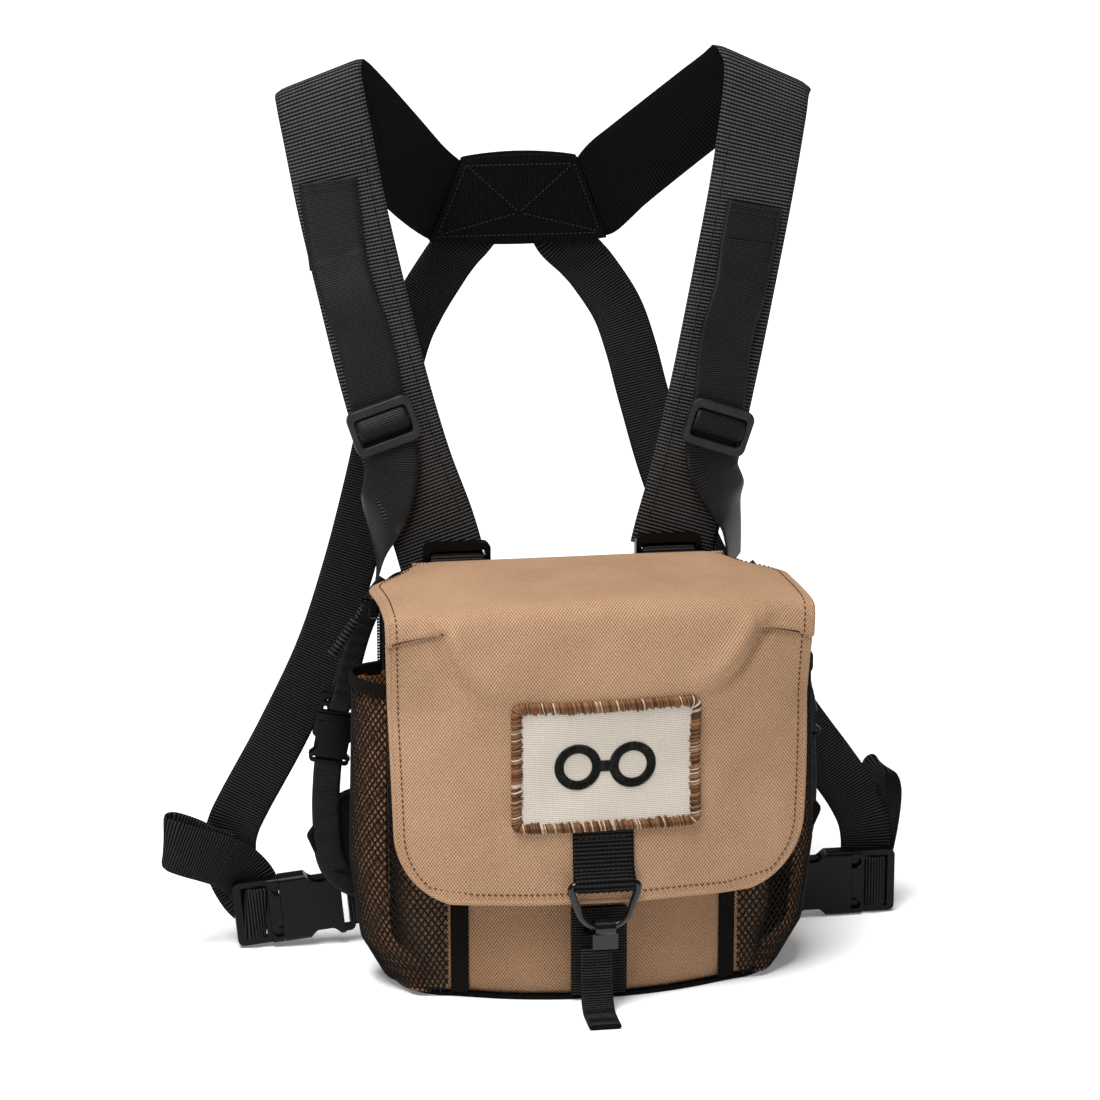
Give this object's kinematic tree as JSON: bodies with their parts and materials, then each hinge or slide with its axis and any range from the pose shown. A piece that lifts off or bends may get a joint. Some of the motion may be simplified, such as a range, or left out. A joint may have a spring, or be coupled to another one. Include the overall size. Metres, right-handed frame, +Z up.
{
  "type": "binocular harness pack",
  "caption": "Chest pack for binoculars: front-flap fabric bag with a ring-and-hook closure, net side pockets and a shoulder harness with side-release buckles.",
  "frame": {"origin": "centre of the bag's flat base, on the surface that it stands on", "axes": "+Z up, -Y the bag's front (flap side), +X towards the wearer's right-hand buckle as seen from the front of the pack"},
  "size_m": [0.371, 0.2318, 0.4212],
  "materials": {
    "tan_cordura": "plain-weave 500D nylon, matt",
    "black_nylon": "coated nylon, matt",
    "black_tape": "grosgrain binding tape",
    "air_mesh": "spacer mesh",
    "foam": "closed-cell foam board",
    "lining_fabric": "brushed lining",
    "net": "stretch net",
    "black_webbing": "nylon webbing, ribbed across",
    "ribbed_webbing": "heavy ribbed webbing",
    "patch_twill": "cream twill with a merrowed border",
    "black_metal": "gloss black coating",
    "zip_coil": "nylon coil",
    "zip_cord": "ribbed cord end",
    "black_plastic": "moulded acetal, satin",
    "grey_plastic": "moulded acetal, satin"
  },
  "bodies": {
    "pack": {"adjuster_webbing_left": "black_webbing", "adjuster_webbing_right": "black_webbing", "back_pad": "air_mesh", "back_panel": "black_nylon", "base_panel": "black_nylon", "binding_tapes": "black_tape", "closure_catch": "black_metal", "closure_strip": "black_webbing", "foam_boards": "foam", "front_panel": "tan_cordura", "lining": "lining_fabric", "lower_strap_left": "black_webbing", "lower_strap_right": "black_webbing", "mesh_pocket_left": "net", "mesh_pocket_right": "net", "pocket_hems": "black_tape", "shoulder_strap_left": "black_webbing", "shoulder_strap_right": "black_webbing", "side_buckle_female_left": "black_plastic", "side_buckle_female_right": "black_plastic", "side_panel_left": "tan_cordura", "side_panel_right": "tan_cordura", "side_wings": "black_nylon", "strap_end_left": "black_webbing", "strap_end_right": "black_webbing", "strap_link_left": "black_webbing", "strap_link_right": "black_webbing", "strap_sleeves": "black_webbing", "tether_buckle_females": "black_plastic", "tether_lowers": "black_webbing", "tether_upper_left": "black_webbing", "tether_upper_right": "black_webbing", "top_anchors": "black_webbing", "top_buckle_females": "black_plastic", "wing_webbing": "black_webbing", "yoke": "ribbed_webbing", "zipper_coil": "zip_coil", "zipper_tape": "black_tape"},
    "lid_top": {"lid_top": "tan_cordura"},
    "lid_front": {"lid_front": "tan_cordura", "lid_binding": "tan_cordura", "patch": "patch_twill", "lid_tab": "black_webbing"},
    "closure_ring": {"closure_ring": "black_metal"},
    "closure_hook": {"closure_hook": "black_metal", "pull_tab": "ribbed_webbing"},
    "zip_slider": {"zip_slider": "black_metal"},
    "zip_pull": {"zip_pull": "zip_cord"},
    "slider_left": {"slider_left": "grey_plastic"},
    "slider_right": {"slider_right": "grey_plastic"},
    "side_buckle_male_left": {"side_buckle_male_left": "black_plastic"},
    "side_prong_upper_left": {"side_prong_upper_left": "black_plastic"},
    "side_prong_lower_left": {"side_prong_lower_left": "black_plastic"},
    "top_buckle_male_left": {"top_buckle_male_left": "black_plastic"},
    "tether_buckle_male_left": {"tether_buckle_male_left": "black_plastic"},
    "side_buckle_male_right": {"side_buckle_male_right": "black_plastic"},
    "side_prong_upper_right": {"side_prong_upper_right": "black_plastic"},
    "side_prong_lower_right": {"side_prong_lower_right": "black_plastic"},
    "top_buckle_male_right": {"top_buckle_male_right": "black_plastic"},
    "tether_buckle_male_right": {"tether_buckle_male_right": "black_plastic"}
  },
  "joints": [
    {"name": "lid_hinge", "type": "hinge", "parent": "pack", "child": "lid_top", "pos_m": [0, 0.038, 0.18575], "axis": [-1, 0, 0], "range_deg": [0, 90]},
    {"name": "lid_fold", "type": "hinge", "parent": "lid_top", "child": "lid_front", "pos_m": [0, -0.044, 0.18575], "axis": [-1, 0, 0], "range_deg": [0, 90]},
    {"name": "ring_swing", "type": "hinge", "parent": "lid_front", "child": "closure_ring", "pos_m": [0, -0.0573, 0.06], "axis": [-1, 0, 0], "range_deg": [0, 60]},
    {"name": "hook_swing", "type": "hinge", "parent": "closure_ring", "child": "closure_hook", "pos_m": [0, -0.0573, 0.0395], "axis": [-1, 0, 0], "range_deg": [0, 60]},
    {"name": "zip_slide", "type": "slide", "parent": "pack", "child": "zip_slider", "axis": [0, 0, -1], "range_m": [0, 0.1]},
    {"name": "zip_pull_swing", "type": "hinge", "parent": "zip_slider", "child": "zip_pull", "pos_m": [-0.0965, 0.027, 0.1715], "axis": [0, 1, 0], "range_deg": [-28, 100]},
    {"name": "slider_left_slide", "type": "slide", "parent": "pack", "child": "slider_left", "axis": [-0.1903, 0, 0.9817], "range_m": [0, 0.03]},
    {"name": "slider_right_slide", "type": "slide", "parent": "pack", "child": "slider_right", "axis": [0.1302, 0.02, 0.9913], "range_m": [0, 0.03]},
    {"name": "side_buckle_left_release", "type": "slide", "parent": "pack", "child": "side_buckle_male_left", "axis": [-0.9954, 0, -0.0958], "range_m": [0, 0.025], "deforming": ["strap_end_left"]},
    {"name": "side_prong_upper_left_squeeze", "type": "hinge", "parent": "side_buckle_male_left", "child": "side_prong_upper_left", "pos_m": [-0.13892, 0.0515, 0.02907], "axis": [0, 1, 0], "range_deg": [0, 5], "stiffness_Nm_per_rad": 0.05},
    {"name": "side_prong_lower_left_squeeze", "type": "hinge", "parent": "side_buckle_male_left", "child": "side_prong_lower_left", "pos_m": [-0.13685, 0.0515, 0.00757], "axis": [0, 1, 0], "range_deg": [-5, 0], "stiffness_Nm_per_rad": 0.05},
    {"name": "top_buckle_left_release", "type": "slide", "parent": "pack", "child": "top_buckle_male_left", "axis": [0, 0, 1], "range_m": [0, 0.015], "deforming": ["strap_link_left"]},
    {"name": "tether_buckle_left_release", "type": "slide", "parent": "pack", "child": "tether_buckle_male_left", "axis": [0.1908, 0, 0.9816], "range_m": [0, 0.012], "deforming": ["tether_upper_left"]},
    {"name": "side_buckle_right_release", "type": "slide", "parent": "pack", "child": "side_buckle_male_right", "axis": [1, 0, 0], "range_m": [0, 0.025], "deforming": ["strap_end_right"]},
    {"name": "side_prong_upper_right_squeeze", "type": "hinge", "parent": "side_buckle_male_right", "child": "side_prong_upper_right", "pos_m": [0.1429, 0.0515, 0.0271], "axis": [0, -1, 0], "range_deg": [0, 5], "stiffness_Nm_per_rad": 0.05},
    {"name": "side_prong_lower_right_squeeze", "type": "hinge", "parent": "side_buckle_male_right", "child": "side_prong_lower_right", "pos_m": [0.1429, 0.0515, 0.0055], "axis": [0, -1, 0], "range_deg": [-5, 0], "stiffness_Nm_per_rad": 0.05},
    {"name": "top_buckle_right_release", "type": "slide", "parent": "pack", "child": "top_buckle_male_right", "axis": [0, 0, 1], "range_m": [0, 0.015], "deforming": ["strap_link_right"]},
    {"name": "tether_buckle_right_release", "type": "slide", "parent": "pack", "child": "tether_buckle_male_right", "axis": [-0.1908, 0, 0.9816], "range_m": [0, 0.012], "deforming": ["tether_upper_right"]}
  ],
  "couplings": [
    {"joint": "side_prong_lower_left_squeeze", "follows": "side_prong_upper_left_squeeze", "ratio": -1},
    {"joint": "side_prong_lower_right_squeeze", "follows": "side_prong_upper_right_squeeze", "ratio": -1}
  ]
}
